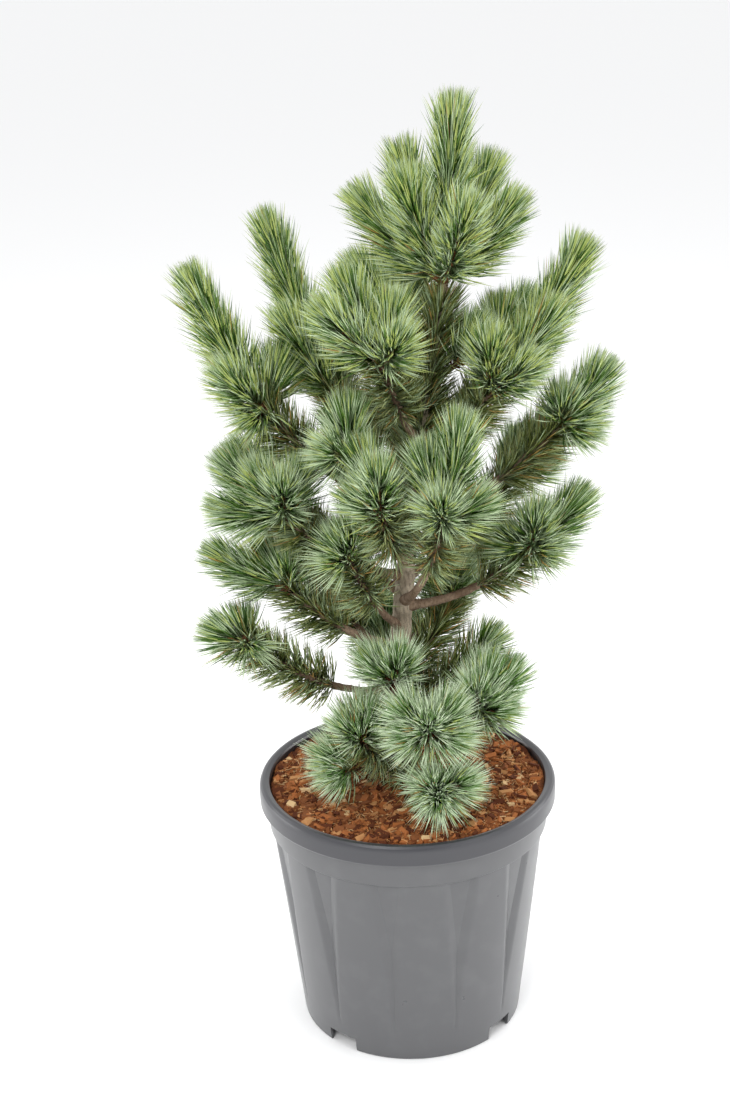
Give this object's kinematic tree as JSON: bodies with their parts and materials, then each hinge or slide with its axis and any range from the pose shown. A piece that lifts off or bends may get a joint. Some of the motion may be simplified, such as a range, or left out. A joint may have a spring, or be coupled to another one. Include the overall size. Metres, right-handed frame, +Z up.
{
  "type": "potted japanese white pine",
  "caption": "Young white pine with a slim leaning trunk, upswept boughs and bottle-brush needle shoots, growing in a round fluted nursery pot filled with compost.",
  "frame": {"origin": "on the pot's upright axis at the level the pot stands on, which is the middle of the box's underside to within 5 mm", "axes": "+Z up along the pot's axis, -Y towards the side that the picture shows, +X to the viewer's right"},
  "size_m": [0.4344, 0.389, 0.9609],
  "materials": {
    "pot_plastic": "dark grey injection-moulded plastic, satin",
    "compost": "loose red-brown fibre and bark chips",
    "bark": "smooth grey-beige bark with dark flecks",
    "needles": "green and blue-white needles"
  },
  "bodies": {
    "root": {"pot": "pot_plastic", "compost": "compost", "trunk": "bark", "bough_high_left": "bark", "bough_high_back_left": "bark", "bough_high_front": "bark", "bough_high_right": "bark", "bough_right": "bark", "bough_low_right": "bark", "bough_front": "bark", "bough_front_left": "bark", "bough_left": "bark", "bough_low_left": "bark", "bough_lowest_left": "bark", "bough_inner_front_left": "bark", "bough_lowest_right": "bark", "bough_lowest_front": "bark", "bough_high_back": "bark", "bough_back_left": "bark", "bough_back_right": "bark", "bough_back": "bark", "bough_mid_back_left": "bark", "bough_mid_back_right": "bark", "bough_low_back_left": "bark", "bough_low_back_right": "bark", "bough_lowest_back": "bark", "needles_crown": "needles", "needles_high_left": "needles", "needles_high_back_left": "needles", "needles_high_front": "needles", "needles_high_right": "needles", "needles_right": "needles", "needles_low_right": "needles", "needles_front": "needles", "needles_front_left": "needles", "needles_left": "needles", "needles_low_left": "needles", "needles_lowest_left": "needles", "needles_inner_front_left": "needles", "needles_inner_left": "needles", "needles_inner_right": "needles", "needles_lower_right": "needles", "needles_lowest_right": "needles", "needles_lowest_front": "needles", "needles_foot_left": "needles", "needles_foot_front_left": "needles", "needles_foot_front": "needles", "needles_inner_low": "needles", "needles_high_back": "needles", "needles_back_left": "needles", "needles_back_right": "needles", "needles_back": "needles", "needles_mid_back_left": "needles", "needles_mid_back_right": "needles", "needles_low_back_left": "needles", "needles_low_back_right": "needles", "needles_lowest_back": "needles", "needles_upper_trunk": "needles", "needles_upper_trunk_right": "needles"}
  },
  "joints": []
}
